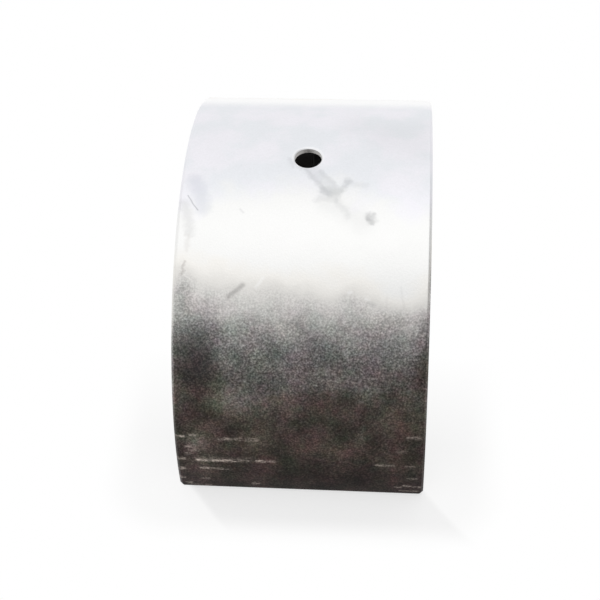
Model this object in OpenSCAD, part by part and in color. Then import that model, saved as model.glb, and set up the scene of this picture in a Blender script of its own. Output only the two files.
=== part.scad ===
// Upper half of a split plain bearing for a crankshaft, standing on its two parting faces.
// The bearing's axis lies along X through the origin. The parting plane is z = 0, the crown points up.

/* [Shell] */
// Outside diameter of the steel back, the size that seats in the housing
outside_d = 80; // [64:0.5:100]
// Width of the shell along its axis
width = 41.5; // [32:0.5:56]
// Wall thickness from the back to the running face
wall = 2.5; // [2:0.1:3.2]
// Chamfer round both ends of the back
back_chamfer = 0.4; // [0.2:0.05:0.6]
// Chamfer round both ends of the running face
bore_chamfer = 0.5; // [0.2:0.05:0.8]

/* [Oil supply] */
// Diameter of the oil hole through the crown
hole_d = 4.6; // [3:0.1:7]
// Width of the broken edge round the mouth of the oil hole
hole_break = 0.2; // [0.1:0.05:0.4]
// How much wider the oil groove is than the oil hole
groove_margin = 0.9; // [0.4:0.1:3]
// Wall left between the floor of the oil groove and the back
groove_floor = 1.1; // [0.8:0.05:1.5]
// Radius in the floor corners of the groove, as a share of its depth
groove_round = 0.4; // [0.2:0.05:0.6]

/* [Parting edges] */
// Small chamfer along the parting edges, inside and out
edge_chamfer = 0.3; // [0.1:0.05:0.5]
// Corner cut of the parting faces, measured along the shell's axis
corner_along = 0.4; // [0.3:0.1:1.2]
// Corner cut of the parting faces, measured up the end faces
corner_up = 0.7; // [0.5:0.1:2]
// Depth of the running face's relief at the parting edges
relief_depth = 0.04; // [0.02:0.01:0.1]
// Height above the parting plane where the relief runs out
relief_h = 9; // [6:0.5:12]

/* [Locating lug] */
// Width of the pressed lug along the shell's axis
lug_w = 6; // [4:0.5:8]
// Distance from the end face to the lug's nearer side
lug_inset = 6; // [3:0.5:8]
// How far the lug stands out from the back at the parting edge
lug_h = 1.1; // [0.7:0.1:1.6]
// Height of the lug's flat part above the parting plane
lug_flat = 2.4; // [1.5:0.1:3.5]
// Height above the parting plane where the lug's ramp meets the back
lug_rise = 6.5; // [5:0.5:9]
// Gap between the lug's foot and the parting plane
lug_setback = 0.2; // [0.1:0.05:0.4]
// Depth of the pressed pocket behind the lug, as a share of the wall
pocket_share = 0.36; // [0.2:0.02:0.46]

/* [Hidden] */
$fn = 180;
over = 1;
back_r = outside_d / 2;
bore_r = back_r - wall;
half_w = width / 2;
hole_r = hole_d / 2;
groove_r = back_r - groove_floor;
groove_depth = groove_r - bore_r;
groove_half = (hole_d + groove_margin) / 2;
groove_corner = groove_depth * groove_round;
// the relief is a cylinder whose axis is moved towards its own parting edge
relief_reach = bore_r + relief_depth;
relief_run = relief_reach - sqrt(bore_r * bore_r - relief_h * relief_h);
relief_off = (relief_reach * relief_reach - bore_r * bore_r) / (2 * relief_run);
relief_r = relief_reach - relief_off;
lug_x = half_w - lug_inset - lug_w;
lug_root = bore_r + 0.5 * wall;
lug_top_y = sqrt(back_r * back_r - lug_rise * lug_rise);
pocket_w = lug_w - 1;
pocket_r = bore_r + pocket_share * wall;
pocket_rise = lug_rise - 1;
pocket_top_y = sqrt(bore_r * bore_r - pocket_rise * pocket_rise);

// wall of the shell cut through along its axis: radius across, axis up
module wall_section() {
    polygon([
        [bore_r + bore_chamfer, -half_w],
        [back_r - back_chamfer, -half_w],
        [back_r, -half_w + back_chamfer],
        [back_r, half_w - back_chamfer],
        [back_r - back_chamfer, half_w],
        [bore_r + bore_chamfer, half_w],
        [bore_r, half_w - bore_chamfer],
        [bore_r, -half_w + bore_chamfer]
    ]);
}

// the wall swept over the upper half turn about X
module half_ring() {
    rotate([90, 0, 90])
        rotate_extrude(angle = 180)
            wall_section();
}

// section of the groove, open towards the axis, with rounded floor corners
module groove_section() {
    translate([bore_r - over, -groove_half])
        square([over + groove_depth - groove_corner, 2 * groove_half]);
    translate([bore_r - over, -groove_half + groove_corner])
        square([over + groove_depth, 2 * (groove_half - groove_corner)]);
    for (side = [-1, 1])
        translate([groove_r - groove_corner, side * (groove_half - groove_corner)])
            circle(r = groove_corner, $fn = 48);
}

module oil_groove() {
    rotate([0, 90, 0])
        rotate_extrude()
            groove_section();
}

module oil_hole() {
    translate([0, 0, bore_r - over])
        cylinder(h = wall + 2 * over, r = hole_r, $fn = 96);
    translate([0, 0, back_r - hole_break])
        cylinder(h = hole_break + over, r1 = hole_r, r2 = hole_r + hole_break + over, $fn = 96);
}

// a bar along X with a section given in Y and Z
module bar_x(points, x_from, length) {
    translate([x_from, 0, 0])
        rotate([90, 0, 90])
            linear_extrude(height = length)
                polygon(points);
}

// crush relief: the running face eases outwards towards both parting edges
module bore_relief() {
    for (side = [-1, 1])
        translate([-half_w - over, side * relief_off, 0])
            rotate([0, 90, 0])
                cylinder(h = width + 2 * over, r = relief_r);
}

// small chamfers along the outer and inner parting edges
module parting_breaks() {
    cut_out = back_r - edge_chamfer;
    cut_in = relief_reach + edge_chamfer;
    for (side = [-1, 1]) {
        bar_x([
            [side * (cut_out - over), -over],
            [side * (back_r + over), -over],
            [side * (back_r + over), edge_chamfer + over]
        ], -half_w - over, width + 2 * over);
        bar_x([
            [side * (cut_in + over), -over],
            [side * (relief_reach - over), -over],
            [side * (relief_reach - over), edge_chamfer + over]
        ], -half_w - over, width + 2 * over);
    }
}

// the four corners where the parting faces meet the end faces
module corner_cuts() {
    slope = corner_up / corner_along;
    for (end = [-1, 1])
        translate([0, back_r + 3 * over, 0])
            rotate([90, 0, 0])
                linear_extrude(height = 2 * back_r + 6 * over)
                    polygon([
                        [end * (half_w - corner_along - over), -over * slope],
                        [end * (half_w + over), -over * slope],
                        [end * (half_w + over), corner_up + over * slope]
                    ]);
}

// the lug stands out on the rear parting edge and ramps back into the shell
module lug() {
    bar_x([
        [lug_root, lug_setback],
        [back_r + lug_h - edge_chamfer, lug_setback],
        [back_r + lug_h, lug_setback + edge_chamfer],
        [back_r + lug_h, lug_flat],
        [lug_top_y, lug_rise],
        [lug_root, lug_rise]
    ], lug_x, lug_w);
}

// the dent that pressing the lug leaves on the running side
module lug_pocket() {
    bar_x([
        [bore_r - 2 * over, -over],
        [pocket_r, -over],
        [pocket_r, lug_flat - 0.5],
        [pocket_top_y, pocket_rise],
        [pocket_top_y - over, pocket_rise],
        [bore_r - 2 * over, lug_flat]
    ], lug_x + (lug_w - pocket_w) / 2, pocket_w);
}

module bearing_shell() {
    color("silver")
        difference() {
            union() {
                difference() {
                    half_ring();
                    oil_groove();
                    oil_hole();
                    bore_relief();
                    parting_breaks();
                    corner_cuts();
                }
                lug();
            }
            lug_pocket();
        }
}

bearing_shell();
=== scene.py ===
import math
from functools import partial

import bpy
import numpy as np
from mathutils import Matrix


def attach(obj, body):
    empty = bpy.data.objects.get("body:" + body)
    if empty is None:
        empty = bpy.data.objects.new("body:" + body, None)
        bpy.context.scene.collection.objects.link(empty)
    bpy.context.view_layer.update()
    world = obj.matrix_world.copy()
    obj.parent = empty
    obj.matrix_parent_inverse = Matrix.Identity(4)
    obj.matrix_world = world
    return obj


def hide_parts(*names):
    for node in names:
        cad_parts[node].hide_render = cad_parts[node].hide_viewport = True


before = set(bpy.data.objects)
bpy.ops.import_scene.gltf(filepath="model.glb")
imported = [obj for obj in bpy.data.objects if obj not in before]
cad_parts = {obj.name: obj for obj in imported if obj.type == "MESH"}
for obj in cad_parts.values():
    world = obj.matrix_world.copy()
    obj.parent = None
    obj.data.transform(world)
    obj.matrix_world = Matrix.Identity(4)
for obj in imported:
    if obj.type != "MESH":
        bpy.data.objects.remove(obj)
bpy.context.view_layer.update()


def toLinear(hexText):
    # sRGB hex to linear RGBA: the standard two-part curve
    srgb = np.array([int(hexText[i:i + 2], 16) for i in (1, 3, 5)]) / 255
    lin = np.where(srgb <= 0.04045, srgb / 12.92, ((srgb + 0.055) / 1.055) ** 2.4)
    return (*[float(v) for v in lin], 1.0)


def addNode(tree, kind, links=None, **settings):
    # one node with its settings; links gives each input a node or socket to join, or a plain value
    node = tree.nodes.new("ShaderNode" + kind)
    for name, value in settings.items():
        setattr(node, name, value)
    for name, source in (links or {}).items():
        if isinstance(source, bpy.types.Node):
            source = next(socket for socket in source.outputs if socket.enabled)
        if isinstance(source, bpy.types.NodeSocket):
            tree.links.new(source, node.inputs[name])
        else:
            node.inputs[name].default_value = source
    return node


def emptyFinish(name):
    # a material with its nodes still to be added
    mat = bpy.data.materials.new(name)
    mat.use_nodes = True
    mat.node_tree.nodes.clear()
    return mat, mat.node_tree


def quads(a, b, c, d):
    # faces from four arrays of corner numbers
    return np.stack([a, b, c, d], -1).reshape(-1, 4)


def sheetQuads(grid):
    # one face for each cell of a grid of point numbers
    return np.stack([grid[:-1, :-1], grid[1:, :-1], grid[1:, 1:], grid[:-1, 1:]], -1)


def ringQuads(rings):
    # faces between closed rings of point numbers, each ring joined to the next
    after = np.roll(rings, -1, axis=1)
    return quads(rings[:-1], rings[1:], after[1:], after[:-1])


def addPiece(name, points, faces):
    # a smooth-shaded mesh object at the origin, from points in metres
    mesh = bpy.data.meshes.new(name)
    mesh.from_pydata(points.tolist(), [], faces.tolist())
    mesh.polygons.foreach_set("use_smooth", np.ones(len(faces), bool))
    piece = bpy.data.objects.new(name, mesh)
    bpy.context.collection.objects.link(piece)
    return piece


# the shell, all sizes in millimetres
shell = dict(
    # the same as in the solid
    outsideD=80.0, width=41.5, wall=2.5, backChamfer=0.4, boreChamfer=0.5,
    holeD=4.6, holeBreak=0.2, grooveMargin=0.9, grooveFloor=1.1, grooveRound=0.4,
    edgeChamfer=0.3, cornerAlong=0.4, cornerUp=0.7, reliefDepth=0.04, reliefHeight=9.0,
    lugWidth=6.0, lugInset=6.0, lugHeight=1.1, lugFlat=2.4, lugRise=6.5, lugSetback=0.2,
    pocketShare=0.36, pocketInset=0.5,
    # soft edges and lips, how far in from the ends the corner cuts reach, and how high the lug is looked for
    edgeSoft=0.07, holeInnerBreak=0.08, lipSteep=0.02, lipRound=0.1, lipRise=0.05,
    lugSideSoft=0.12, lugFootSoft=0.04, cornerFade=(3.5, 0.7), lugMargin=0.5,
    # longest grid cell, and the angle past which an edge stays sharp
    gridStep=1.1, sharpDegrees=32,
)
backR = shell["outsideD"] / 2
boreR = backR - shell["wall"]
halfWidth = shell["width"] / 2
holeR = shell["holeD"] / 2
grooveHalf = holeR + shell["grooveMargin"] / 2
grooveDepth = shell["wall"] - shell["grooveFloor"]
grooveCorner = grooveDepth * shell["grooveRound"]
grooveFlat = grooveHalf - grooveCorner
grooveTurns = (0, 18, 36, 54, 72, 84, 90)    # degrees round the groove's floor corner
roundX = [grooveFlat + grooveCorner * math.sin(math.radians(turn)) for turn in grooveTurns]
blockX, blockArc = roundX[4], shell["holeD"]    # half sizes of the block of cells round the hole
lugFrom = halfWidth - shell["lugInset"] - shell["lugWidth"]
lugTo = lugFrom + shell["lugWidth"]


def softEdge(distance, size):
    # depth of a chamfer at a distance from its edge: size minus distance, never below zero, with soft ends
    past = size - distance
    return 0.5 * (past + np.sqrt(past * past + shell["edgeSoft"] ** 2))


def rayToLine(normal, point, low):
    # length of a ray from the bearing's axis, at angle low above the parting plane, up to a straight line:
    # the line's distance from the axis over the cosine between its normal and the ray
    return np.dot(normal, point) / (normal[0] * np.cos(low) + normal[1] * np.sin(low))


def smoothRamp(t):
    # 0 below 0, 1 above 1, and three t squared less two t cubed between
    t = np.clip(t, 0, 1)
    return t * t * (3 - 2 * t)


def betweenSides(x, inset):
    # 1 between the lug's sides, moved in by the inset, and 0 beyond them, with soft steps
    soft = shell["lugSideSoft"]
    return smoothRamp((x - lugFrom - inset) / soft) * smoothRamp((lugTo - inset - x) / soft)


def outerRadius(x, arc):
    # back of the shell: full radius, less the end and parting chamfers, plus the pressed lug at the rear
    low = math.pi / 2 - np.abs(arc) / backR
    height = backR * np.sin(low)
    radius = backR - softEdge(halfWidth - np.abs(x), shell["backChamfer"])
    radius = radius - softEdge(height, shell["edgeChamfer"])
    tip = backR + shell["lugHeight"]
    foot, cut, rise = shell["lugSetback"], shell["edgeChamfer"], shell["lugRise"]
    ramp = (rise - shell["lugFlat"], tip - math.sqrt(backR ** 2 - rise ** 2))
    lug = np.minimum(rayToLine((1, 0), (tip, 0), low), rayToLine((1, -1), (tip - cut, foot), low))
    lug = np.minimum(lug, rayToLine(ramp, (tip, shell["lugFlat"]), low))
    inside = betweenSides(x, 0) * np.clip((height - foot) / shell["lugFootSoft"], 0, 1)
    inside = inside * (arc > 0) * (height < rise + shell["lugMargin"])
    return radius + inside * np.maximum(lug - radius, 0)


def innerRadius(x, arc):
    # running face: bore, eased outwards at the parting edges, with end chamfers, oil groove and lug pocket
    low = math.pi / 2 - np.abs(arc) / backR
    height = boreR * np.sin(low)
    away = np.abs(x)
    # relief: a cylinder whose axis is moved towards its own parting edge
    reach = boreR + shell["reliefDepth"]
    shift = (reach ** 2 - boreR ** 2) / (2 * (reach - math.sqrt(boreR ** 2 - shell["reliefHeight"] ** 2)))
    eased = shift * np.cos(low) + np.sqrt((reach - shift) ** 2 - (shift * np.sin(low)) ** 2)
    radius = np.maximum(boreR, eased) + softEdge(halfWidth - away, shell["boreChamfer"])
    radius = radius + softEdge(height, shell["edgeChamfer"])
    # groove: flat floor, round floor corners, upright walls and a small round lip
    corner = np.sqrt(np.maximum(grooveCorner ** 2 - np.maximum(away - grooveFlat, 0) ** 2, 0))
    wallTop = grooveDepth - grooveCorner
    lipX = [grooveHalf, grooveHalf + shell["lipSteep"], grooveHalf + shell["lipRound"]]
    lip = np.interp(away, lipX, [wallTop, shell["lipRise"], 0])
    depth = np.where(away <= grooveHalf, wallTop + corner, lip)
    radius = np.maximum(radius, boreR + depth)
    # pocket: flat floor behind the lug, then a slope up to the bore
    inset = shell["pocketInset"]
    floorR = boreR + shell["pocketShare"] * shell["wall"]
    rise, bend = shell["lugRise"] - 2 * inset, shell["lugFlat"] - inset
    slope = (rise - bend, floorR - math.sqrt(boreR ** 2 - rise ** 2))
    pocket = np.minimum(rayToLine((1, 0), (floorR, 0), low), rayToLine(slope, (floorR, bend), low))
    inside = betweenSides(x, inset) * (arc > 0) * (height < rise + shell["lugMargin"])
    return radius + inside * np.maximum(pocket - radius, 0)


def gridLines(stops):
    # all the stops, with even runs between them no longer than the grid's step
    stops = np.unique(np.round(np.array(stops, float), 4))
    counts = [max(1, math.ceil((b - a) / shell["gridStep"] - 1e-6)) for a, b in zip(stops[:-1], stops[1:])]
    runs = [np.linspace(a, b, n + 1)[:-1] for a, b, n in zip(stops[:-1], stops[1:], counts)]
    return np.append(np.concatenate(runs), stops[-1])


def placeOn(radius, x, arc):
    # x stays along the axis, drawn in at the corner cuts; arc becomes an angle from the crown about the axis
    turn = arc / backR
    fadeFrom, fadeTo = shell["cornerFade"]    # distances from the end between which the drawing in grows
    pull = shell["cornerAlong"] * softEdge(backR * np.cos(turn), shell["cornerUp"]) / shell["cornerUp"]
    pull = pull * np.clip((np.abs(x) - halfWidth + fadeFrom) / (fadeFrom - fadeTo), 0, 1)
    return np.stack([x - np.sign(x) * pull, radius * np.sin(turn), radius * np.cos(turn)], -1)


def shellLines():
    # grid lines along the axis and round the back, crowded where the section turns
    endSteps = (0, 0.05, 0.12, 0.2, 0.3, 0.38, 0.44, 0.5, 0.58, 0.7, 1.0)    # in from the ends
    sideSteps = (0, 0.04, 0.08, 0.12, 0.5, 0.56, 0.62)    # in from the sides of the lug, past its pocket's
    footHeights = (0, 0.05, 0.12, 0.2, 0.26, 0.32, 0.4, 0.5, 0.6, 0.7, 0.8, 1.0, 1.4, 2.0, 3.0, 4.5, 6.0, 9.0)
    lugHeights = (0.16, 0.24, 1.9, 2.3, 2.4, 2.5, 5.0, 5.4, 5.6, 6.2, 6.5, 6.7)
    besideGroove = 4.2
    oneSide = roundX + [grooveHalf + shell["lipSteep"], grooveHalf + shell["lipRound"], besideGroove]
    oneSide += [halfWidth - d for d in endSteps]
    lugX = [lugFrom + d for d in sideSteps] + [lugTo - d for d in sideSteps]
    overHole = np.linspace(-grooveFlat, grooveFlat, 13)
    xs = gridLines([*overHole, *oneSide, *[-v for v in oneSide], *lugX])
    footArc = backR * (math.pi / 2 - np.arcsin(np.array(footHeights) / backR))
    lugArc = backR * (math.pi / 2 - np.arcsin(np.array(lugHeights) / backR))
    overHole = np.linspace(-blockArc, blockArc, 25)
    arcs = gridLines([*-footArc, *footArc, *lugArc, *overHole])
    return xs, np.clip(arcs, -footArc[0], footArc[0])    # rounding takes no foot below the parting plane


def holeRings(rimX, rimY):
    # rings from the hole's wall outwards: circles over the broken edge, then a blend to the block's rim
    breakSteps = np.array([0, 0.25, 0.5, 0.75, 1.0, 1.3])    # in widths of the broken edge
    blendSteps = [0.3, 0.65]
    wallSteps = np.array([0.33, 0.67])    # down the hole's wall
    spin = np.arctan2(rimY, rimX)
    circle = holeR + breakSteps * shell["holeBreak"]
    blend = np.append(np.zeros(len(circle)), blendSteps)[:, None]
    ringR = np.append(circle, [circle[-1]] * len(blendSteps))[:, None]
    ringX = (1 - blend) * ringR * np.cos(spin) + blend * rimX
    ringY = (1 - blend) * ringR * np.sin(spin) + blend * rimY
    ringArc = backR * np.arcsin(ringY / backR)
    fromHole = np.hypot(ringX, ringY) - holeR
    outR = outerRadius(ringX, ringArc) - softEdge(fromHole, shell["holeBreak"])
    inR = innerRadius(ringX, ringArc) + softEdge(fromHole, shell["holeInnerBreak"])
    # the hole is straight but the running face's grid is narrower, so its rings are drawn in step by step
    drawn = (np.arange(len(ringX)) / len(ringX))[:, None]
    inY = ringY * (1 + drawn * (inR / backR - 1))
    outRing = np.stack([ringX, ringY, np.sqrt(outR ** 2 - ringY ** 2)], -1)
    inRing = np.stack([ringX, inY, np.sqrt(inR ** 2 - inY ** 2)], -1)
    midRing = outRing[0] + (inRing[0] - outRing[0]) * wallSteps[:, None, None]
    return outRing, inRing, midRing


def buildShell():
    # two sheets, back and running face, over one grid of width and arc length, joined by walls round
    # the rim; a ring grid round the oil hole takes the place of the middle block of cells
    xs, arcs = shellLines()
    x, arc = np.meshgrid(xs, arcs, indexing="ij")
    back = placeOn(outerRadius(x, arc), x, arc)
    bore = placeOn(innerRadius(x, arc), x, arc)

    # rim of the middle block, anticlockwise seen from above, as grid places
    hair = 1e-3
    i0, i1 = np.searchsorted(xs, [-blockX - hair, blockX - hair])
    j0, j1 = np.searchsorted(arcs, [-blockArc - hair, blockArc - hair])
    ni, nj = i1 - i0, j1 - j0
    iRim = np.concatenate([np.full(nj, i1), np.arange(i1, i0, -1), np.full(nj, i0), np.arange(i0, i1)])
    jRim = np.concatenate([np.arange(j0, j1), np.full(ni, j1), np.arange(j1, j0, -1), np.full(ni, j0)])
    grids = [back, bore, *holeRings(xs[iRim], backR * np.sin(arcs[jRim] / backR))]

    # all the points in one list, and each grid's numbers in it
    points = np.concatenate([grid.reshape(-1, 3) for grid in grids])
    starts = np.cumsum([0] + [grid[..., 0].size for grid in grids])
    sheet, under, ringTop, ringLow, ringMid = [
        start + np.arange(grid[..., 0].size).reshape(grid.shape[:2]) for start, grid in zip(starts, grids)]
    ringTop = np.vstack([ringTop, sheet[iRim, jRim]])
    ringLow = np.vstack([ringLow, under[iRim, jRim]])
    holeWall = np.vstack([ringTop[0], ringMid, ringLow[0]])

    # faces, each set with its finish: the back, the running face with its groove, or the cut edges
    onBack, onBore, onCut = 0, 1, 2
    keep = np.ones((len(xs) - 1, len(arcs) - 1), bool)
    keep[i0:i1, j0:j1] = False
    midX = 0.5 * (np.abs(xs[:-1]) + np.abs(xs[1:]))[:, None] * np.ones(len(arcs) - 1)
    boreKind = np.where(midX > halfWidth - shell["boreChamfer"], onCut, onBore)
    faceSets = [
        (sheetQuads(sheet)[keep], onBack),
        (sheetQuads(under)[keep][:, ::-1], boreKind[keep]),
        (ringQuads(ringTop), onBack),
        (ringQuads(ringLow)[:, ::-1], onBore),
        (ringQuads(holeWall)[:, ::-1], onCut),
        (quads(under[-1, :-1], under[-1, 1:], sheet[-1, 1:], sheet[-1, :-1]), onCut),
        (quads(under[0, :-1], sheet[0, :-1], sheet[0, 1:], under[0, 1:]), onCut),
        (quads(sheet[:-1, 0], under[:-1, 0], under[1:, 0], sheet[1:, 0]), onCut),
        (quads(under[:-1, -1], sheet[:-1, -1], sheet[1:, -1], under[1:, -1]), onCut),
    ]
    faces = np.concatenate([f for f, kind in faceSets])
    kinds = np.concatenate([np.broadcast_to(kind, len(f)) for f, kind in faceSets])

    # drop the points inside the middle block that no face uses
    used = np.unique(faces)
    renumber = np.zeros(len(points), int)
    renumber[used] = np.arange(len(used))
    points, faces = points[used], renumber[faces]

    piece = addPiece("bearingShell", points / 1000, faces)
    piece.data.polygons.foreach_set("material_index", kinds.astype(np.int32))
    # place on the wall in millimetres: along the axis, round the back from the crown, and out from the axis
    x, y, z = points.T
    spot = np.stack([x, backR * np.arctan2(y, z), np.hypot(y, z)], -1)
    wallMm = piece.data.attributes.new("wallMm", "FLOAT_VECTOR", "POINT")
    wallMm.data.foreach_set("vector", spot.astype(np.float32).ravel())
    piece.data.set_sharp_from_angle(angle=math.radians(shell["sharpDegrees"]))
    piece.data.update()
    print("shell mesh:", len(points), "points,", len(faces), "faces")
    return piece


# finish of the back: cold-rolled steel strip, pressed round and given a thin flash of tin
# the tin gives a soft silver sheen with a fine grain; the darkening and browning towards the parting edges is
# painted shade, standing for the dark surroundings that the lower back reflects
backFinish = dict(
    crown="#efeef3", crownCool="#e9ebef", shoulder="#f1f1f0", limbHighlight="#ffffff", rim="#fbfbfb",
    # the cool clouds, and how far round the back the crown's tone gives way to the front's and to the rear's
    # white, which is a painted highlight along the rear limb
    coolAt=(0.42, 0.58), crownMm=6.6, crownSoftMm=2.5, crownCloudMm=14.0, crownBow=0.20, limbHighlightMm=(16.0, 22.5),
    rimMm=(0.25, 0.5), rimShare=0.5,
    # the painted shade's tone over arc length from the crown, and what shifts it
    rearPaintedShadeMm=4.0, darkenCloudMm=9.0, paintedShadeLean=0.05,
    darkenMm=[(20, "#ffffff"), (22.5, "#fffdfa"), (24.5, "#f5f3f0"), (27, "#e4e2e0"), (30, "#c0bebc"),
            (33, "#a09e9d"), (37, "#868381"), (42, "#66605b"), (46, "#4e4742"), (52, "#443c38"),
            (64, "#2f2826")],
    # sizes of the noises; the grain is finer on the real strip and drawn coarser so that it shows
    grainMm=0.30, fleckMm=1.0, tintMm=3.0, patchMm=4.5, cloudMm=7.0,
    # how these grow with the film's depth, as a share: from, to, and the values there
    grainStrength=(0.11, 0.38, 0.02, 0.68), tintStrength=(0.13, 0.52, 0.0, 0.68),
    grainSpread=(0.25, 0.42, 5.3, 4.1), patchSpread=(0.42, 0.60, 1.5, 2.5),
    hueTint=(0.6, -0.42, 0.12), patchTint=(0.55, -0.385, 0.165), fleckTint=(0.40, -0.28, 0.24),
    darkest=0.005, oilStirMm=1.2, scratchStirMm=0.25,
    roughness=(0.32, 0.42), roughGrain=(0.3, 0.7), bumpMm=0.03, bumpStrength=0.6,
)

# patches where the painted shade reaches further (plus) or less far (minus), in mm: x, arc, half sizes, and
# the shift
# the narrow ones along the ends, at x near ±20.9, are painted shade and painted highlight on the end chamfers
paintedShadePatches = [
    (-16.4, -36.0, 6.0, 9.5, 5.5), (-17.0, -46.5, 3.6, 4.0, 2.0), (-19.0, -25.0, 3.0, 6.5, 3.2),
    (15.0, -23.5, 7.0, 6.0, -2.6), (8.0, -26.5, 4.0, 4.0, 2.4), (20.6, -35.0, 3.6, 13.0, 7.0),
    (-9.5, -44.0, 7.0, 4.5, -4.0), (6.0, -43.5, 8.0, 5.0, 2.8), (17.0, -38.5, 7.0, 8.0, 3.0),
    (7.8, -48.5, 3.0, 3.4, 6.0), (6.0, -59.5, 13.0, 4.5, 7.0), (-17.0, -52.6, 5.4, 5.4, -9.0),
    (-3.0, -46.5, 5.0, 4.0, -2.0), (17.0, -48.0, 5.0, 5.0, 6.0), (20.9, -20.0, 0.7, 14.0, 12.0),
    (-20.9, -40.0, 0.75, 22.0, -10.0), (20.95, -46.0, 0.75, 14.0, -7.0), (-16.0, -58.5, 6.5, 5.0, -8.0),
    (12.4, -50.0, 1.9, 3.6, 6.0), (10.2, -49.3, 1.3, 3.0, -4.0), (17.5, -54.0, 3.6, 3.0, 6.0),
    (15.3, -25.0, 4.4, 2.6, -2.4), (15.5, -28.6, 4.6, 1.7, 0.6), (-13.5, -32.0, 4.6, 3.2, 3.0),
    (-8.0, -31.0, 5.5, 3.5, 1.4), (7.5, -36.5, 4.5, 4.5, 1.6),
]

# oil that ran from the hole and dried, a dried drop and stains, and grey and pale streaks along the left end
# and a
# dark blotch low on the left: path in mm, width, softness of the outline, tone, strength
smearTone, spotTone, scratchTone = "#9fa2a5", "#77797c", "#8a8b92"
oilMarks = [
    ([(-1.2, -2.3), (0.4, -3.6), (2.7, -6.7), (4.1, -8.2)], 0.6, 0.5, smearTone, 0.20),
    ([(2.2, -3.3), (3.9, -5.0), (5.1, -6.4)], 0.5, 0.45, smearTone, 0.14),
    ([(0.6, -2.7), (4.2, -7.0)], 2.4, 0.7, smearTone, 0.17),
    ([(3.1, -7.2), (5.2, -7.4)], 1.6, 0.6, "#8d9496", 0.22),
    ([(6.0, -7.2), (6.4, -6.2), (6.9, -5.1)], 0.9, 0.5, smearTone, 0.28),
    ([(6.9, -5.5), (9.9, -6.1)], 0.9, 0.7, smearTone, 0.12),
    ([(1.9, -9.2), (2.4, -8.7), (5.2, -8.9)], 0.9, 0.5, smearTone, 0.16),
    ([(5.0, -8.2), (5.4, -9.6), (6.3, -10.5), (7.2, -11.8)], 0.8, 0.6, smearTone, 0.16),
    ([(3.8, -9.6), (6.6, -11.2), (9.5, -13.0)], 3.4, 1.6, smearTone, 0.10),
    ([(-2.9, -0.6), (-2.4, -2.2)], 0.7, 0.5, smearTone, 0.18),
    ([(10.3, -12.2), (10.6, -11.7), (11.0, -11.6)], 0.7, 0.45, spotTone, 0.24),
    ([(10.6, -12.4), (11.2, -13.2)], 0.6, 0.4, spotTone, 0.26),
    ([(10.7, -12.0), (11.1, -12.7)], 1.7, 0.5, spotTone, 0.13),
    ([(-19.7, -10.2), (-19.1, -12.2), (-18.4, -15.4)], 1.2, 0.9, "#a9a9aa", 0.22),
    ([(-18.7, -16.1), (-18.7, -18.3)], 0.7, 0.5, "#a99f98", 0.15),
    ([(-19.1, -20.5), (-19.1, -22.0), (-19.5, -22.7)], 0.25, 0.3, "#8f8782", 0.30),
    ([(-18.4, -5.8), (-17.3, -8.4), (-16.6, -10.9)], 2.4, 1.1, "#c9ccd6", 0.40),
    ([(-16.9, -33.6), (-16.4, -37.4)], 4.2, 2.8, "#34353a", 0.50),
    ([(13.0, 4.5), (18.0, 3.0)], 5.0, 3.5, smearTone, 0.09),
    ([(8.0, 9.3), (18.5, 8.8)], 4.5, 3.5, smearTone, 0.08),
]

# scratches and scuffs, in the same terms
scratches = [
    ([(-19.3, -8.7), (-18.4, -10.2), (-17.4, -11.4)], 0.10, 0.13, scratchTone, 0.45),
    ([(-10.5, -11.1), (-9.9, -11.7)], 0.25, 0.2, scratchTone, 0.15),
    ([(-11.6, -26.0), (-9.3, -24.0)], 0.45, 0.45, "#7c7a79", 0.42),
    ([(-7.2, -24.3), (-6.1, -22.8)], 0.35, 0.3, "#fdfdfd", 0.32),
    ([(7.7, -24.8), (8.1, -24.7)], 0.4, 0.2, "#fdfdfd", 0.45),
    ([(10.5, -25.7), (11.0, -26.0)], 0.3, 0.2, "#fdfdfd", 0.35),
    ([(11.0, -26.4), (11.7, -26.7)], 0.5, 0.4, spotTone, 0.18),
    ([(13.8, -25.4), (13.8, -27.0)], 0.15, 0.3, spotTone, 0.06),
    ([(16.0, -23.7), (16.3, -25.4), (16.6, -26.9)], 0.15, 0.3, spotTone, 0.07),
]
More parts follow.
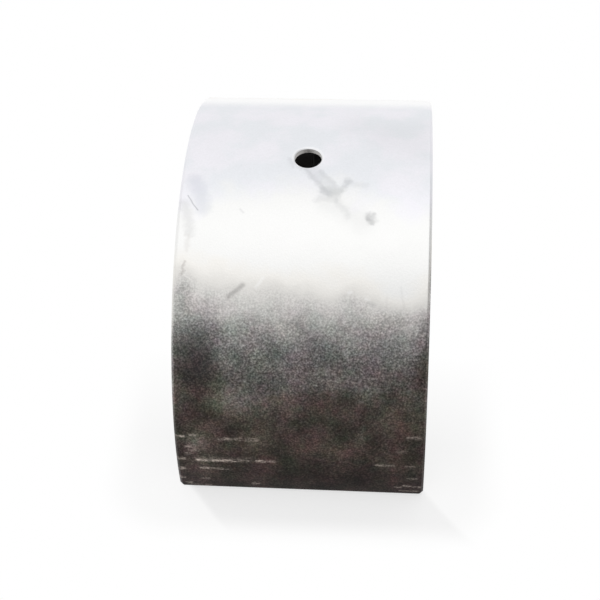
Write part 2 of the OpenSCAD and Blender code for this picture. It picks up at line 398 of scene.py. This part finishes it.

# rub marks along the foot: lighter lines along the axis, laid over the painted shade
# streaks about 1.2 mm long and 0.2 mm wide bend and break the lines: from x, to x, arc, strength, width
footRubs = dict(
    tone="#d0c2b8", softMm=0.20, streaksPerMm=(0.8, 4.5, 1.0), bendMm=(1.2, 0.35, 0.0), breakAt=(0.34, 0.58),
    speckGrain=(0.36, 0.58), speckStrength=(0.4, 1.15),
    lines=[
        (-20.6, -19.1, -50.35, 0.55, 0.35), (-18.1, -17.2, -50.05, 0.28, 0.40),
        (-13.4, -11.4, -50.65, 0.36, 0.80), (-10.5, -9.6, -50.55, 0.26, 0.75),
        (-8.7, -7.0, -50.60, 0.32, 0.85), (-20.4, -19.4, -55.30, 0.50, 0.65),
        (-17.1, -16.1, -55.55, 0.78, 0.45), (-16.1, -14.6, -55.60, 0.55, 0.42),
        (-14.6, -10.8, -55.50, 0.78, 0.48), (-10.8, -8.6, -55.40, 0.30, 0.35),
        (-7.1, -5.9, -55.35, 0.70, 0.60), (-5.7, -4.2, -55.30, 0.34, 0.45),
        (-17.0, -8.4, -55.20, 0.14, 1.50), (-16.6, -15.4, -57.40, 0.55, 0.38),
        (-15.4, -13.0, -57.45, 0.30, 0.35), (-13.0, -11.6, -57.60, 0.20, 0.40),
        (-20.3, -19.7, -57.70, 0.45, 1.00), (-20.4, -19.8, -60.20, 0.48, 0.70),
        (-19.3, -18.7, -61.60, 0.38, 0.60), (-17.1, -15.6, -60.20, 0.28, 0.40),
        (-18.7, -15.3, -62.15, 0.26, 0.40), (-7.9, -7.1, -61.20, 0.26, 0.80),
        (-18.9, -18.0, -52.50, 0.30, 0.50), (-18.5, -17.3, -53.30, 0.28, 0.60),
        (-18.9, -18.2, -54.00, 0.24, 0.40), (18.0, 20.0, -49.05, 0.22, 0.60),
        (16.3, 17.6, -52.00, 0.10, 1.10), (12.8, 15.7, -55.25, 0.36, 0.45),
        (17.6, 19.0, -55.35, 0.22, 0.40), (18.1, 19.6, -58.35, 0.22, 0.35),
        (16.1, 16.9, -60.75, 0.38, 0.35), (17.4, 18.5, -60.30, 0.46, 0.40),
        (19.2, 20.2, -60.55, 0.38, 0.40), (16.9, 19.9, -61.75, 0.26, 0.30),
    ],
)
noiseMiddle = 0.5    # value that a noise swings about


def paintedShadeDepth(add, across, along, front, flat, cloud):
    # depth of the painted shade, 0 to 1: arc length from the crown, less a set length at the rear, shifted by
    # clouds, by a slight lean and by the patches, each of which fades out over its ellipse
    behind = add("Math", {0: along, 1: backFinish["rearPaintedShadeMm"]}, operation="SUBTRACT")
    away = add("Math", {0: front, 1: behind}, operation="MAXIMUM")
    swing = backFinish["darkenCloudMm"]
    reach = add("Math", {0: cloud, 1: swing, 2: away}, operation="MULTIPLY_ADD")
    reach = add("Math", {0: reach, 1: swing / 2}, operation="SUBTRACT")
    reach = add("Math", {0: across, 1: -backFinish["paintedShadeLean"], 2: reach}, operation="MULTIPLY_ADD")
    for x0, s0, halfX, halfS, shift in paintedShadePatches:
        off = add("VectorMath", {0: flat, 1: (x0, s0, 0.0)}, operation="SUBTRACT")
        off = add("VectorMath", {0: off, 1: (1 / halfX, 1 / halfS, 0.0)}, operation="MULTIPLY")
        off = add("VectorMath", {0: off}, operation="LENGTH")
        part = add("MapRange", {"Value": off, "From Min": 1.0, "From Max": 0.0, "To Max": shift},
                   interpolation_type="SMOOTHSTEP")
        reach = add("Math", {0: reach, 1: part}, operation="ADD")
    depths = [mm for mm, tone in backFinish["darkenMm"]]
    return add("MapRange", {"Value": reach, "From Min": depths[0], "From Max": depths[-1]})


def paintedShadeTone(add, darkening):
    # tone of the painted shade over its depth, from clear to dark brown
    stops = backFinish["darkenMm"]
    first, last = stops[0][0], stops[-1][0]
    ramp = add("ValToRGB", {"Fac": darkening})
    for mm, tone in stops[1:-1]:
        ramp.color_ramp.elements.new((mm - first) / (last - first))
    for element, (mm, tone) in zip(ramp.color_ramp.elements, stops):
        element.color = toLinear(tone)
    return ramp


def tinWithPaintedHighlight(add, across, along, front, cloud):
    # cool and cloudy over the crown, warmer on the front shoulder, and white far to the rear: a painted
    # highlight along the rear limb
    coolFrom, coolTo = backFinish["coolAt"]
    coolness = add("MapRange", {"Value": cloud, "From Min": coolFrom, "From Max": coolTo})
    cool = toLinear(backFinish["crownCool"])
    crown = add("Mix", {"Factor": coolness, 6: toLinear(backFinish["crown"]), 7: cool}, data_type="RGBA")
    side = add("Math", {0: across}, operation="ABSOLUTE")
    swing = backFinish["crownCloudMm"]
    wander = add("Math", {0: side, 1: -backFinish["crownBow"], 2: front}, operation="MULTIPLY_ADD")
    wander = add("Math", {0: cloud, 1: swing, 2: wander}, operation="MULTIPLY_ADD")
    middle, soft = backFinish["crownMm"] + swing / 2, backFinish["crownSoftMm"]
    limbFrom, limbTo = backFinish["limbHighlightMm"]
    tinAndHighlight = crown
    for value, start, end, tone in ((wander, middle - soft, middle + soft, backFinish["shoulder"]),
                                    (along, limbFrom, limbTo, backFinish["limbHighlight"])):
        beyond = add("MapRange", {"Value": value, "From Min": start, "From Max": end},
                     interpolation_type="SMOOTHSTEP")
        tinAndHighlight = add("Mix", {"Factor": beyond, 6: tinAndHighlight, 7: toLinear(tone)}, data_type="RGBA")
    return tinAndHighlight


def mottle(add, tone, darkening, grain, patch, hues, fleck):
    # grain and cloudy patches scale the tone by e to the power of their noise, evenly up and down;
    # tints then swing it between pinkish brown and olive, and all are stronger where the painted shade is
    # deeper
    rangeInputs = ("From Min", "From Max", "To Min", "To Max")
    strength, tintStrength, grainSpread, patchSpread = [
        add("MapRange", {"Value": darkening, **dict(zip(rangeInputs, backFinish[name]))})
        for name in ("grainStrength", "tintStrength", "grainSpread", "patchSpread")]
    for noise, spread in ((grain, grainSpread), (patch, patchSpread)):
        shift = add("Math", {0: noise, 1: noiseMiddle}, operation="SUBTRACT")
        shift = add("Math", {0: shift, 1: spread}, operation="MULTIPLY")
        shift = add("Math", {0: shift, 1: strength}, operation="MULTIPLY")
        gain = add("Math", {0: shift}, operation="EXPONENT")
        tone = add("VectorMath", {0: tone, "Scale": gain}, operation="SCALE")
    for noise, tint in ((hues, "hueTint"), (patch.outputs["Color"], "patchTint"),
                        (fleck.outputs["Color"], "fleckTint")):
        shift = add("VectorMath", {0: noise, 1: (noiseMiddle,) * 3}, operation="SUBTRACT")
        shift = add("VectorMath", {0: shift, 1: backFinish[tint]}, operation="MULTIPLY")
        shift = add("VectorMath", {0: shift, "Scale": tintStrength}, operation="SCALE")
        tone = add("VectorMath", {0: tone, 1: shift, 2: tone}, operation="MULTIPLY_ADD")
        tone = add("VectorMath", {0: tone, 1: (backFinish["darkest"],) * 3}, operation="MAXIMUM")
    return tone


def pathDistance(add, place, path):
    # distance from a place on the wall to the nearest point of a broken line, in millimetres:
    # on each stretch that point lies at the place's share of the length, kept between the ends
    gaps = []
    for (x0, s0), (x1, s1) in zip(path[:-1], path[1:]):
        run = (x1 - x0, s1 - s0, 0.0)
        perLength = tuple(v / (run[0] ** 2 + run[1] ** 2) for v in run)
        start = add("VectorMath", {0: place, 1: (x0, s0, 0.0)}, operation="SUBTRACT")
        share = add("VectorMath", {0: start, 1: perLength}, operation="DOT_PRODUCT")
        share = add("Clamp", {"Value": share})
        foot = add("VectorMath", {0: run, "Scale": share}, operation="SCALE")
        gaps.append(add("VectorMath", {0: start, 1: foot}, operation="DISTANCE"))
    nearest = gaps[0]
    for gap in gaps[1:]:
        nearest = add("Math", {0: nearest, 1: gap}, operation="MINIMUM")
    return nearest


def drawMarks(add, tone, flat, fleck):
    # each mark's tone over the finish, with its outline pushed about by the flecks
    stir = add("VectorMath", {0: fleck.outputs["Color"], 1: (noiseMiddle,) * 3}, operation="SUBTRACT")
    for marks, loose in ((oilMarks, backFinish["oilStirMm"]), (scratches, backFinish["scratchStirMm"])):
        place = add("VectorMath", {0: stir, 1: (loose, loose, 0.0), 2: flat}, operation="MULTIPLY_ADD")
        for path, width, soft, markTone, strength in marks:
            gap = pathDistance(add, place, path)
            near, far = max(width / 2 - soft, 0), width / 2 + soft
            there = add("MapRange", {"Value": gap, "From Min": far, "From Max": near, "To Max": strength},
                        interpolation_type="SMOOTHSTEP")
            tone = add("Mix", {"Factor": there, 6: tone, 7: toLinear(markTone)}, data_type="RGBA")
    return tone


def drawRubs(add, tone, flat, grain):
    # rubs are drawn out along the axis, so the noise that bends and breaks them is too; grain speckles them
    streak = add("VectorMath", {0: flat, 1: footRubs["streaksPerMm"]}, operation="MULTIPLY")
    streak = add("TexNoise", {"Vector": streak, "Scale": 1.0, "Detail": 2.0})
    bend = add("VectorMath", {0: streak.outputs["Color"], 1: (noiseMiddle,) * 3}, operation="SUBTRACT")
    place = add("VectorMath", {0: bend, 1: footRubs["bendMm"], 2: flat}, operation="MULTIPLY_ADD")
    (low, high), (least, most) = footRubs["speckGrain"], footRubs["speckStrength"]
    speck = add("MapRange", {"Value": grain, "From Min": low, "From Max": high,
                             "To Min": least, "To Max": most})
    low, high = footRubs["breakAt"]
    broken = add("MapRange", {"Value": streak, "From Min": low, "From Max": high})
    broken = add("Math", {0: broken, 1: speck}, operation="MULTIPLY")
    for x0, x1, arc, strength, width in footRubs["lines"]:
        gap = pathDistance(add, place, [(x0, arc), (x1, arc)])
        far = width / 2 + footRubs["softMm"]
        there = add("MapRange", {"Value": gap, "From Min": far, "From Max": 0.0, "To Max": strength},
                    interpolation_type="SMOOTHSTEP")
        there = add("Math", {0: there, 1: broken}, operation="MULTIPLY")
        tone = add("Mix", {"Factor": there, 6: tone, 7: toLinear(footRubs["tone"])}, data_type="RGBA")
    return tone


def makeBackFinish():
    # painted shade over the tin and its painted highlight, then a lighter ring round the hole, the mottling,
    # marks and rubs
    mat, tree = emptyFinish("tinFlashedSteelPressed")
    add = partial(addNode, tree)
    wall = add("Attribute", attribute_name="wallMm").outputs["Vector"]
    parts = add("SeparateXYZ", {"Vector": wall})
    across, along = parts.outputs["X"], parts.outputs["Y"]
    flat = add("CombineXYZ", {"X": across, "Y": along})
    front = add("Math", {0: along, 1: -1.0}, operation="MULTIPLY")
    details = dict(grainMm=1.0, fleckMm=1.0, tintMm=1.0, patchMm=3.0, cloudMm=4.0)
    grain, fleck, hues, patch, cloud = [
        add("TexNoise", {"Vector": wall, "Scale": 1 / backFinish[size], "Detail": detail})
        for size, detail in details.items()]

    # the darkening towards the parting edges is painted shade
    darkening = paintedShadeDepth(add, across, along, front, flat, cloud)
    tinAndHighlight = tinWithPaintedHighlight(add, across, along, front, cloud)
    tone = add("VectorMath", {0: tinAndHighlight, 1: paintedShadeTone(add, darkening)}, operation="MULTIPLY")
    fromHole = add("VectorMath", {0: flat}, operation="LENGTH")
    near, far = (holeR + mm for mm in backFinish["rimMm"])
    rim = add("MapRange", {"Value": fromHole, "From Min": far, "From Max": near,
                           "To Max": backFinish["rimShare"]})
    tone = add("Mix", {"Factor": rim, 6: tone, 7: toLinear(backFinish["rim"])}, data_type="RGBA")
    tone = mottle(add, tone, darkening, grain, patch, hues, fleck)
    tone = drawMarks(add, tone, flat, fleck)
    tone = drawRubs(add, tone, flat, grain)

    (low, high), (least, most) = backFinish["roughGrain"], backFinish["roughness"]
    rough = add("MapRange", {"Value": grain, "From Min": low, "From Max": high,
                             "To Min": least, "To Max": most})
    bump = add("Bump", {"Height": grain, "Strength": backFinish["bumpStrength"],
                        "Distance": backFinish["bumpMm"] / 1000})
    shader = add("BsdfPrincipled", {"Base Color": tone, "Metallic": 1.0, "Roughness": rough, "Normal": bump})
    add("OutputMaterial", {"Surface": shader})
    return mat


# finish of the running face and groove: a soft overlay plated on the lining, over fine boring rings
# it gives a dull grey with faint rings; it is darker towards the parting edges, and the groove's near-black
# is painted shade
liningFinish = dict(
    tone="#86837f", dark="#646260", blendAt=(0.1, 0.42), cloudMm=5.0, ringMm=0.3, ringsRound=0.03,
    darkening="#2a2827", darkenMm=(40.0, 58.0), darkenCloudMm=12.0,
    groove="#151413", grooveShadeMm=(0.15, 0.9), grooveShadeShare=0.95,
    roughness=(0.32, 0.46), bumpMm=0.006, bumpStrength=0.5,
)


def makeLiningFinish():
    # rings times clouds blend two greys, then the darkening towards the parting edges and the groove's
    # painted shade are laid over
    mat, tree = emptyFinish("overlayPlatedFineBored")
    add = partial(addNode, tree)
    wall = add("Attribute", attribute_name="wallMm").outputs["Vector"]
    parts = add("SeparateXYZ", {"Vector": wall})
    # boring rings are a few hundredths apart; drawn coarser so that they show
    perMm = (1 / liningFinish["ringMm"], liningFinish["ringsRound"], 0.0)
    stretch = add("VectorMath", {0: wall, 1: perMm}, operation="MULTIPLY")
    rings = add("TexNoise", {"Vector": stretch, "Scale": 1.0, "Detail": 2.0})
    cloud = add("TexNoise", {"Vector": wall, "Scale": 1 / liningFinish["cloudMm"], "Detail": 3.0})
    blend = add("Math", {0: rings, 1: cloud}, operation="MULTIPLY")
    low, high = liningFinish["blendAt"]
    blend = add("MapRange", {"Value": blend, "From Min": low, "From Max": high})
    dark, light = toLinear(liningFinish["dark"]), toLinear(liningFinish["tone"])
    tone = add("Mix", {"Factor": blend, 6: dark, 7: light}, data_type="RGBA")

    away = add("Math", {0: parts.outputs["Y"]}, operation="ABSOLUTE")
    swing = liningFinish["darkenCloudMm"]
    away = add("Math", {0: cloud, 1: swing, 2: away}, operation="MULTIPLY_ADD")
    start, end = (mm + swing / 2 for mm in liningFinish["darkenMm"])
    darkening = add("MapRange", {"Value": away, "From Min": start, "From Max": end},
               interpolation_type="SMOOTHSTEP")
    # the groove is darkened almost to black: painted shade, for the shade inside the shell seen through the
    # hole
    start, end = (boreR + mm for mm in liningFinish["grooveShadeMm"])
    grooveShade = add("MapRange", {"Value": parts.outputs["Z"], "From Min": start, "From Max": end,
                            "To Max": liningFinish["grooveShadeShare"]})
    for cover, coverTone in ((darkening, liningFinish["darkening"]), (grooveShade, liningFinish["groove"])):
        tone = add("Mix", {"Factor": cover, 6: tone, 7: toLinear(coverTone)}, data_type="RGBA")

    least, most = liningFinish["roughness"]
    rough = add("MapRange", {"Value": rings, "To Min": least, "To Max": most})
    bump = add("Bump", {"Height": rings, "Strength": liningFinish["bumpStrength"],
                        "Distance": liningFinish["bumpMm"] / 1000})
    shader = add("BsdfPrincipled", {"Base Color": tone, "Metallic": 1.0, "Roughness": rough, "Normal": bump})
    add("OutputMaterial", {"Surface": shader})
    return mat


# cut faces: bare steel, turned, broached and drilled, which gives a light grey with fine tool lines,
# and the thin lining shows along the running side
cutFinish = dict(
    steel="#d6d5d4", steelDark="#b2b1b0", lineMm=0.25, lineAcross=0.2, lineRound=0.1,
    lining="#b8a591", liningMm=0.35, liningSoftMm=0.03, drilled="#c2c0be", drilledMm=(0.3, 1.0),
    roughness=(0.26, 0.40), drilledRough=0.22, bumpMm=0.006, bumpStrength=0.5,
)


def makeCutFinish():
    # tool lines blend two greys, then the lining's edge and the hole's drilled wall are laid over
    mat, tree = emptyFinish("steelTurnedEdges")
    add = partial(addNode, tree)
    wall = add("Attribute", attribute_name="wallMm").outputs["Vector"]
    outwards = add("SeparateXYZ", {"Vector": wall}).outputs["Z"]
    # tool lines run round the end faces and along the parting faces
    perLine = 1 / cutFinish["lineMm"]
    perMm = (cutFinish["lineAcross"] * perLine, cutFinish["lineRound"], perLine)
    stretch = add("VectorMath", {0: wall, 1: perMm}, operation="MULTIPLY")
    lines = add("TexNoise", {"Vector": stretch, "Scale": 1.0, "Detail": 2.0})
    dark, light = toLinear(cutFinish["steelDark"]), toLinear(cutFinish["steel"])
    tone = add("Mix", {"Factor": lines, 6: dark, 7: light}, data_type="RGBA")

    # the lining is a thin band next to the bore
    edge, soft = boreR + cutFinish["liningMm"], cutFinish["liningSoftMm"]
    layer = add("MapRange", {"Value": outwards, "From Min": edge - soft, "From Max": edge + soft,
                             "To Min": 1.0, "To Max": 0.0})
    # the drilled hole's wall is rougher and holds some oil
    flat = add("VectorMath", {0: wall, 1: (1.0, 1.0, 0.0)}, operation="MULTIPLY")
    fromHole = add("VectorMath", {0: flat}, operation="LENGTH")
    near, far = (holeR + mm for mm in cutFinish["drilledMm"])
    drilled = add("MapRange", {"Value": fromHole, "From Min": far, "From Max": near})
    for cover, coverTone in ((layer, cutFinish["lining"]), (drilled, cutFinish["drilled"])):
        tone = add("Mix", {"Factor": cover, 6: tone, 7: toLinear(coverTone)}, data_type="RGBA")

    least, most = cutFinish["roughness"]
    rough = add("MapRange", {"Value": lines, "To Min": least, "To Max": most})
    rough = add("Math", {0: drilled, 1: cutFinish["drilledRough"], 2: rough}, operation="MULTIPLY_ADD")
    bump = add("Bump", {"Height": lines, "Strength": cutFinish["bumpStrength"],
                        "Distance": cutFinish["bumpMm"] / 1000})
    shader = add("BsdfPrincipled", {"Base Color": tone, "Metallic": 1.0, "Roughness": rough, "Normal": bump})
    add("OutputMaterial", {"Surface": shader})
    return mat


shellPiece = buildShell()
for finish in (makeBackFinish(), makeLiningFinish(), makeCutFinish()):
    shellPiece.data.materials.append(finish)
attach(shellPiece, "root")
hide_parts("bearing_shell")
print("shell dressed")

# studio, in metres: pale floor that sweeps up far away, one soft light overhead, and a surround that is
# bright behind and dim in front; the floor's shades round the shell are in millimetres
studio = dict(
    floorTone="#f7f7f7", floorHalf=4.0, floorLines=65, flatTo=2.0, sweepRise=0.42,
    shadeShare=0.42, shadeSideMm=(1.3, -1.7), shadeUnderMm=(-4.0, -0.5), shadeAheadMm=(10.5, 5.0),
    shadeLean=0.8, shadeOffMm=1.6,
    haloShare=0.20, haloMm=(7.0, 15.0), haloStretch=1.3, haloBehindMm=(-30.0, -10.0),
    archXMm=(12.0, 20.0), archYMm=(36.0, 39.5),
    domeTowards=(-0.45, 0.45, 0.77), domeFrom=-0.62, domeTo=0.58, domeDim=0.06, domeBright=1.0,
    lampPlace=(0.0, -0.012, 0.50), lampSize=0.36, lampWatts=0.080,
)


def makeCard():
    # matt card: seen straight, in metal or through glass it is lifted to white, but not under the arch, and
    # less in a shade at each foot, which slants in front, and in a faint halo round the front foot
    mat, tree = emptyFinish("paleCardMatt")
    add = partial(addNode, tree)
    place = add("TexCoord").outputs["Object"]
    place = add("VectorMath", {0: place, "Scale": 1000.0}, operation="SCALE")    # in millimetres
    parts = add("SeparateXYZ", {"Vector": place})
    size = add("VectorMath", {0: place}, operation="ABSOLUTE")
    sizes = add("SeparateXYZ", {"Vector": size})
    past = add("VectorMath", {0: size, 1: (halfWidth, backR, 0.0)}, operation="SUBTRACT")
    ahead = add("SeparateXYZ", {"Vector": past}).outputs["Y"]
    inFront = add("Math", {0: -backR, 1: parts.outputs["Y"]}, operation="SUBTRACT")

    # shade: between two sides that lean with the distance in front, from under the foot to a little ahead
    slant = add("Math", {0: inFront, 1: studio["shadeOffMm"]}, operation="ADD")
    slant = add("Math", {0: slant, 1: 0.0}, operation="MAXIMUM")
    slant = add("Math", {0: slant, 1: -studio["shadeLean"], 2: parts.outputs["X"]}, operation="MULTIPLY_ADD")
    slant = add("Math", {0: slant}, operation="ABSOLUTE")
    sides = [halfWidth + mm for mm in studio["shadeSideMm"]]
    shade = studio["shadeShare"]
    for value, (whiteAt, darkAt) in ((slant, sides), (ahead, studio["shadeUnderMm"]),
                                     (ahead, studio["shadeAheadMm"])):
        part = add("MapRange", {"Value": value, "From Min": whiteAt, "From Max": darkAt},
                   interpolation_type="SMOOTHSTEP")
        shade = add("Math", {0: shade, 1: part}, operation="MULTIPLY")

    # halo: by the distance from the shell's outline, longer forwards than sideways, fading out to the rear
    outside = add("VectorMath", {0: past, 1: (0.0, 0.0, 0.0)}, operation="MAXIMUM")
    outside = add("VectorMath", {0: outside, 1: (1.0, studio["haloStretch"], 1.0)}, operation="MULTIPLY")
    outside = add("VectorMath", {0: outside}, operation="LENGTH")
    near, far = studio["haloMm"]
    halo = add("MapRange", {"Value": outside, "From Min": far, "From Max": near,
                            "To Max": studio["haloShare"]}, interpolation_type="SMOOTHSTEP")
    start, end = studio["haloBehindMm"]
    fade = add("MapRange", {"Value": inFront, "From Min": start, "From Max": end})
    halo = add("Math", {0: halo, 1: fade}, operation="MULTIPLY")
    shade = add("Math", {0: shade, 1: halo}, operation="MAXIMUM")

    inside = [add("MapRange", {"Value": sizes.outputs[axis], "From Min": outer, "From Max": inner},
                  interpolation_type="SMOOTHSTEP")
              for axis, (inner, outer) in (("X", studio["archXMm"]), ("Y", studio["archYMm"]))]
    arch = add("Math", {0: inside[0], 1: inside[1]}, operation="MULTIPLY")

    ray = add("LightPath").outputs
    lift = add("Math", {0: ray["Is Camera Ray"], 1: ray["Is Glossy Ray"]}, operation="MAXIMUM")
    lift = add("Math", {0: lift, 1: ray["Is Transmission Ray"]}, operation="MAXIMUM")
    for less in (arch, shade):
        share = add("Math", {0: 1.0, 1: less}, operation="SUBTRACT")
        lift = add("Math", {0: lift, 1: share}, operation="MULTIPLY")
    card = add("BsdfDiffuse", {"Color": toLinear(studio["floorTone"])})
    white = add("Emission", {"Strength": 1.0})
    mix = add("MixShader", {0: lift, 1: card, 2: white})
    add("OutputMaterial", {"Surface": mix})
    return mat


def makeFloor():
    # height over a square grid: flat near the object, then rising as the square of the distance past flatTo
    side = np.linspace(-studio["floorHalf"], studio["floorHalf"], studio["floorLines"])
    x, y = np.meshgrid(side, side, indexing="ij")
    past = np.maximum(np.hypot(x, y) - studio["flatTo"], 0) / (studio["floorHalf"] - studio["flatTo"])
    points = np.stack([x, y, studio["sweepRise"] * past ** 2], -1).reshape(-1, 3)
    faces = sheetQuads(np.arange(x.size).reshape(x.shape)).reshape(-1, 4)
    floor = addPiece("paleFloor", points, faces)
    floor.data.materials.append(makeCard())


def makeSurround():
    # brightness follows the angle from one direction above and behind: a smooth step from dim to bright
    world = bpy.data.worlds.new("studioSurround")
    bpy.context.scene.world = world
    world.use_nodes = True
    world.node_tree.nodes.clear()
    add = partial(addNode, world.node_tree)
    way = add("TexCoord").outputs["Generated"]
    facing = add("VectorMath", {0: way, 1: studio["domeTowards"]}, operation="DOT_PRODUCT")
    level = add("MapRange", {"Value": facing, "From Min": studio["domeFrom"], "From Max": studio["domeTo"],
                             "To Min": studio["domeDim"], "To Max": studio["domeBright"]},
                interpolation_type="SMOOTHSTEP")
    sky = add("Background", {"Color": (1.0, 1.0, 1.0, 1.0), "Strength": level})
    add("OutputWorld", {"Surface": sky})


def makeLamp():
    # a square of light above the shell, tipped to face it
    light = bpy.data.lights.new("softLamp", "AREA")
    light.shape = "SQUARE"
    light.size = studio["lampSize"]
    light.energy = studio["lampWatts"]
    lamp = bpy.data.objects.new("softLamp", light)
    lamp.location = studio["lampPlace"]
    lamp.rotation_euler = (-math.atan2(studio["lampPlace"][1], studio["lampPlace"][2]), 0, 0)
    bpy.context.collection.objects.link(lamp)


# camera: its place in mm, its turn, tilt and roll in degrees, its focal length in pixels of a square frame,
# the sensor's width in mm, and how near and far it sees in metres
view = dict(place=(14.93, -156.64, 187.13), turn=6.449, tilt=49.411, roll=-3.336, focal=1280.1, frame=600,
            sensor=36, clip=(0.01, 50))


def makeCamera():
    # turned about the vertical, tipped down, then rolled about its own line of sight
    turn, tilt, roll = (math.radians(view[k]) for k in ("turn", "tilt", "roll"))
    level = np.array([math.cos(turn), math.sin(turn), 0])
    ahead = np.array([-math.sin(turn), math.cos(turn), 0])
    up = np.array([0, 0, 1.0])
    look = ahead * math.cos(tilt) - up * math.sin(tilt)
    top = ahead * math.sin(tilt) + up * math.cos(tilt)
    right = level * math.cos(roll) + top * math.sin(roll)
    top = top * math.cos(roll) - level * math.sin(roll)
    lens = bpy.data.cameras.new("photoCamera")
    lens.sensor_width = view["sensor"]
    lens.lens = view["focal"] / view["frame"] * view["sensor"]
    lens.clip_start, lens.clip_end = view["clip"]
    camera = bpy.data.objects.new("photoCamera", lens)
    stand = np.eye(4)
    stand[:3, :3] = np.stack([right, top, -look], -1)
    stand[:3, 3] = np.array(view["place"]) / 1000
    camera.matrix_world = Matrix(stand.tolist())
    bpy.context.collection.objects.link(camera)
    bpy.context.scene.camera = camera


makeFloor()
makeSurround()
makeLamp()
makeCamera()
bpy.context.scene.view_settings.view_transform = "Standard"
print("studio and camera set")
